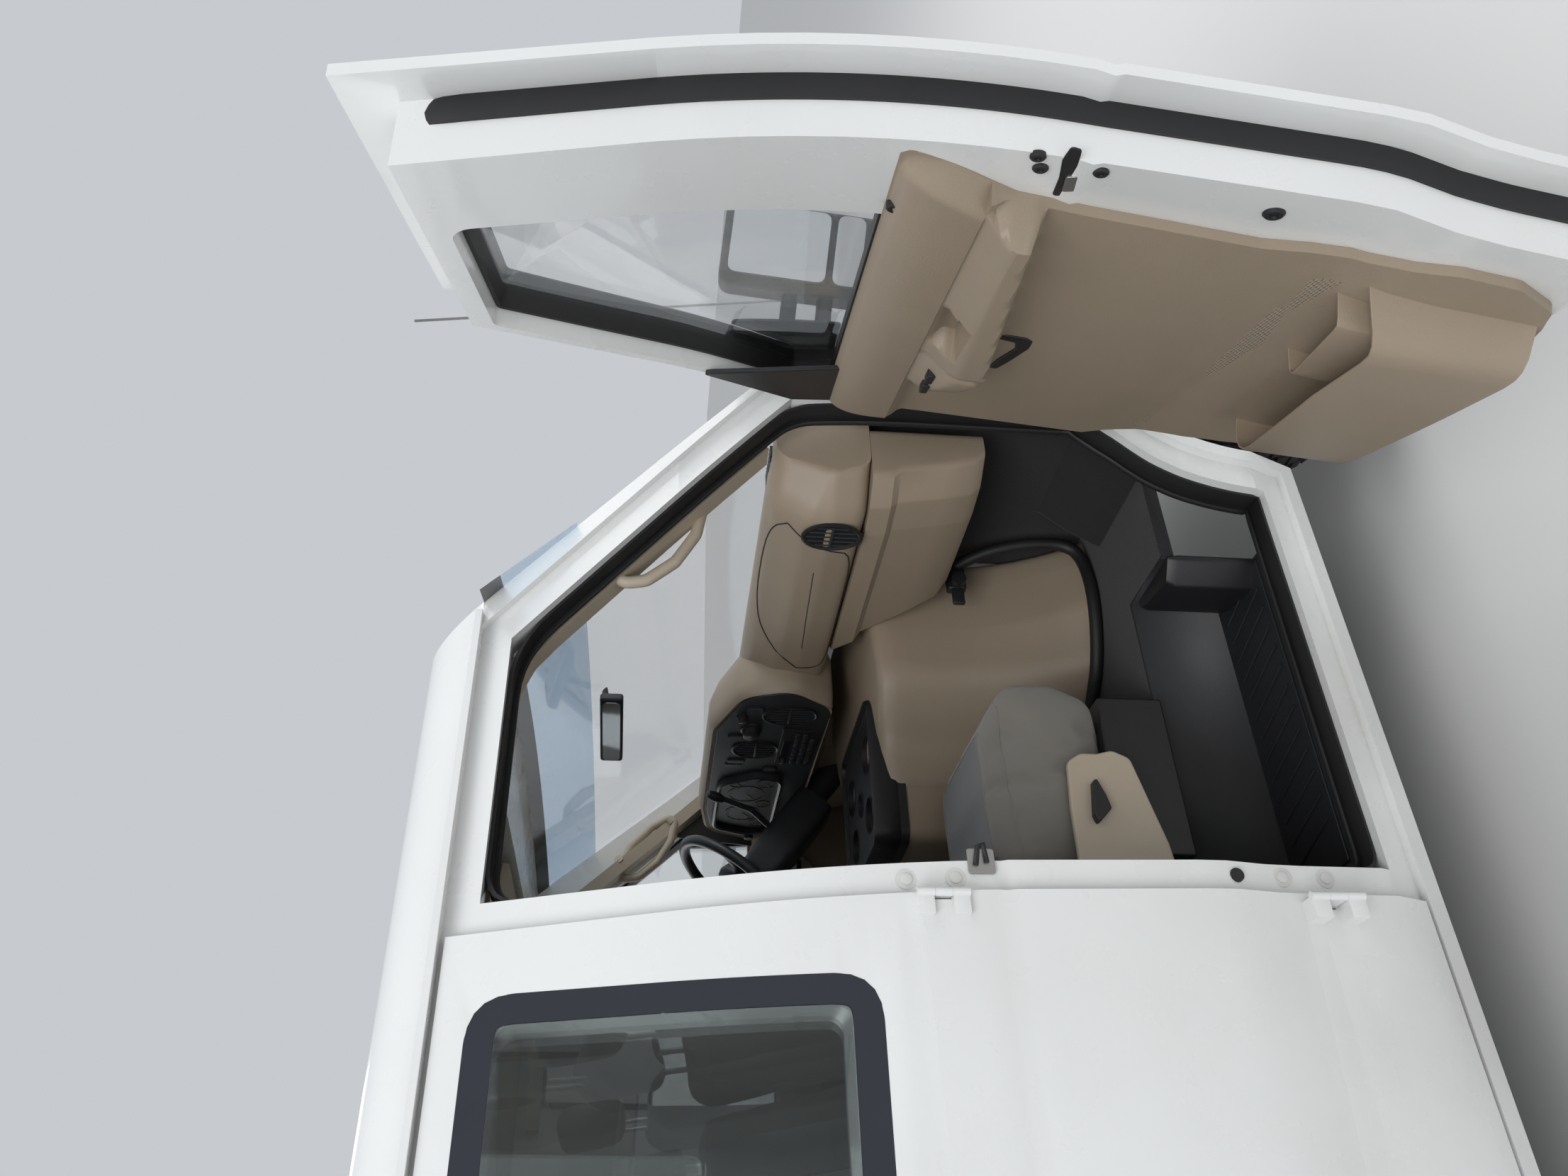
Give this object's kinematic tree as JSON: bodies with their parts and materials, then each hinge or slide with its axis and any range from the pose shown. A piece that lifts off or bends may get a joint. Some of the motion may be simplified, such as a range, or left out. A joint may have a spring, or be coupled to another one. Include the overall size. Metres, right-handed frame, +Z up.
{
  "type": "full-size van",
  "caption": "Full-size van with hinged front, side cargo and rear doors, lifting hood, steered front wheels, furnished cab and an open load space.",
  "frame": {"origin": "on the ground, on the van's centre plane, midway between the front and rear axles", "axes": "+X forward along the van, +Y to the van's left, +Z up"},
  "size_m": [5.382, 3.2526, 2.1745],
  "materials": {
    "body_paint": "gloss white, slightly dirty in the jambs",
    "chassis_black": "black underbody coating",
    "steel": "dull steel",
    "wheel_steel": "silver painted steel",
    "tyre": "black rubber",
    "chrome": "chrome plated steel",
    "black_plastic": "grained black plastic",
    "grey_plastic": "dark grey moulding",
    "beige_plastic": "beige moulded trim",
    "floor_mat": "black carpet and ribbed mats",
    "seat_fabric": "parchment grey woven cloth",
    "headliner_cloth": "pale beige cloth",
    "tinted_glass": "tinted safety glass",
    "clear_lamp": "clear lens over reflectors",
    "red_lamp": "red lens"
  },
  "bodies": {
    "body": {"frame_rails": "chassis_black", "floor_pan": "floor_mat", "floor_wells": "floor_mat", "firewall": "floor_mat", "body_side_left": "body_paint", "body_side_right": "body_paint", "roof": "body_paint", "nose": "body_paint", "windshield": "tinted_glass", "side_glass": "tinted_glass", "grille": "chrome", "front_lamps": "clear_lamp", "tail_lamps": "red_lamp", "bumpers": "chrome", "dashboard": "beige_plastic", "instrument_panel": "grey_plastic", "steering_column": "grey_plastic", "engine_cover": "beige_plastic", "engine_block": "steel", "front_seats": "seat_fabric", "seat_frames": "black_plastic", "rear_bench": "seat_fabric", "headliner": "headliner_cloth", "grab_handles": "beige_plastic", "inside_mirror": "black_plastic", "wipers": "black_plastic", "antenna": "steel", "exhaust": "steel", "driveshaft": "steel", "fuel_tank": "chassis_black", "rear_axle": "chassis_black", "front_beams": "chassis_black"},
    "left_front_door": {"left_front_door_shell": "body_paint", "left_front_door_glass": "tinted_glass", "left_front_door_trim": "beige_plastic", "left_front_door_mirror": "black_plastic"},
    "right_front_door": {"right_front_door_shell": "body_paint", "right_front_door_glass": "tinted_glass", "right_front_door_trim": "beige_plastic", "right_front_door_mirror": "black_plastic"},
    "side_door_front": {"side_door_front_shell": "body_paint", "side_door_front_glass": "tinted_glass"},
    "side_door_rear": {"side_door_rear_shell": "body_paint", "side_door_rear_glass": "tinted_glass"},
    "left_rear_door": {"left_rear_door_shell": "body_paint", "left_rear_door_glass": "tinted_glass"},
    "right_rear_door": {"right_rear_door_shell": "body_paint", "right_rear_door_glass": "tinted_glass"},
    "hood": {"hood": "body_paint"},
    "steering_wheel": {"steering_wheel": "grey_plastic"},
    "knuckle_left": {"knuckle_left": "steel"},
    "knuckle_right": {"knuckle_right": "steel"},
    "wheel_front_left": {"rim_front_left": "wheel_steel", "tyre_front_left": "tyre"},
    "wheel_front_right": {"rim_front_right": "wheel_steel", "tyre_front_right": "tyre"},
    "wheel_rear_left": {"rim_rear_left": "wheel_steel", "tyre_rear_left": "tyre"},
    "wheel_rear_right": {"rim_rear_right": "wheel_steel", "tyre_rear_right": "tyre"}
  },
  "joints": [
    {"name": "wheel_front_left_roll", "type": "hinge", "parent": "knuckle_left", "child": "wheel_front_left", "pos_m": [1.7525, 0.8815, 0.3865], "axis": [0, 1, 0], "continuous": true},
    {"name": "wheel_front_right_roll", "type": "hinge", "parent": "knuckle_right", "child": "wheel_front_right", "pos_m": [1.7525, -0.8815, 0.3865], "axis": [0, 1, 0], "continuous": true},
    {"name": "wheel_rear_left_roll", "type": "hinge", "parent": "body", "child": "wheel_rear_left", "pos_m": [-1.7525, 0.851, 0.3865], "axis": [0, 1, 0], "continuous": true},
    {"name": "wheel_rear_right_roll", "type": "hinge", "parent": "body", "child": "wheel_rear_right", "pos_m": [-1.7525, -0.851, 0.3865], "axis": [0, 1, 0], "continuous": true},
    {"name": "left_steer", "type": "hinge", "parent": "body", "child": "knuckle_left", "pos_m": [1.7525, 0.7765, 0.3865], "axis": [0, 0, 1], "range_deg": [-30, 30]},
    {"name": "right_steer", "type": "hinge", "parent": "body", "child": "knuckle_right", "pos_m": [1.7525, -0.7765, 0.3865], "axis": [0, 0, 1], "range_deg": [-30, 30]},
    {"name": "steering_wheel_turn", "type": "hinge", "parent": "body", "child": "steering_wheel", "pos_m": [0.87, 0.48, 1.375], "axis": [0.788, 0, -0.6157], "range_deg": [-510, 510]},
    {"name": "right_front_door_swing", "type": "hinge", "parent": "body", "child": "right_front_door", "pos_m": [1.43, -1.009, 1.07], "axis": [0.0504, 0.087, 0.9949], "range_deg": [-64.4, 6]},
    {"name": "left_front_door_swing", "type": "hinge", "parent": "body", "child": "left_front_door", "pos_m": [1.43, 1.009, 1.07], "axis": [0.0504, -0.087, 0.9949], "range_deg": [-70.4, 0]},
    {"name": "side_door_front_swing", "type": "hinge", "parent": "body", "child": "side_door_front", "pos_m": [0.322, -1.01, 0.8], "axis": [0, 0, 1], "range_deg": [0, 90]},
    {"name": "side_door_rear_swing", "type": "hinge", "parent": "body", "child": "side_door_rear", "pos_m": [-0.897, -1.01, 0.8], "axis": [0, 0, 1], "range_deg": [-175, 0]},
    {"name": "left_rear_door_swing", "type": "hinge", "parent": "body", "child": "left_rear_door", "pos_m": [-2.839, 0.933, 1], "axis": [0, 0, 1], "range_deg": [-178, 0]},
    {"name": "right_rear_door_swing", "type": "hinge", "parent": "body", "child": "right_rear_door", "pos_m": [-2.839, -0.933, 1], "axis": [0, 0, 1], "range_deg": [0, 178]},
    {"name": "hood_lift", "type": "hinge", "parent": "body", "child": "hood", "pos_m": [1.815, 0, 1.158], "axis": [0, -1, 0], "range_deg": [0, 55]}
  ],
  "couplings": [
    {"joint": "right_steer", "follows": "left_steer", "ratio": 1},
    {"joint": "steering_wheel_turn", "follows": "left_steer", "ratio": -17}
  ]
}
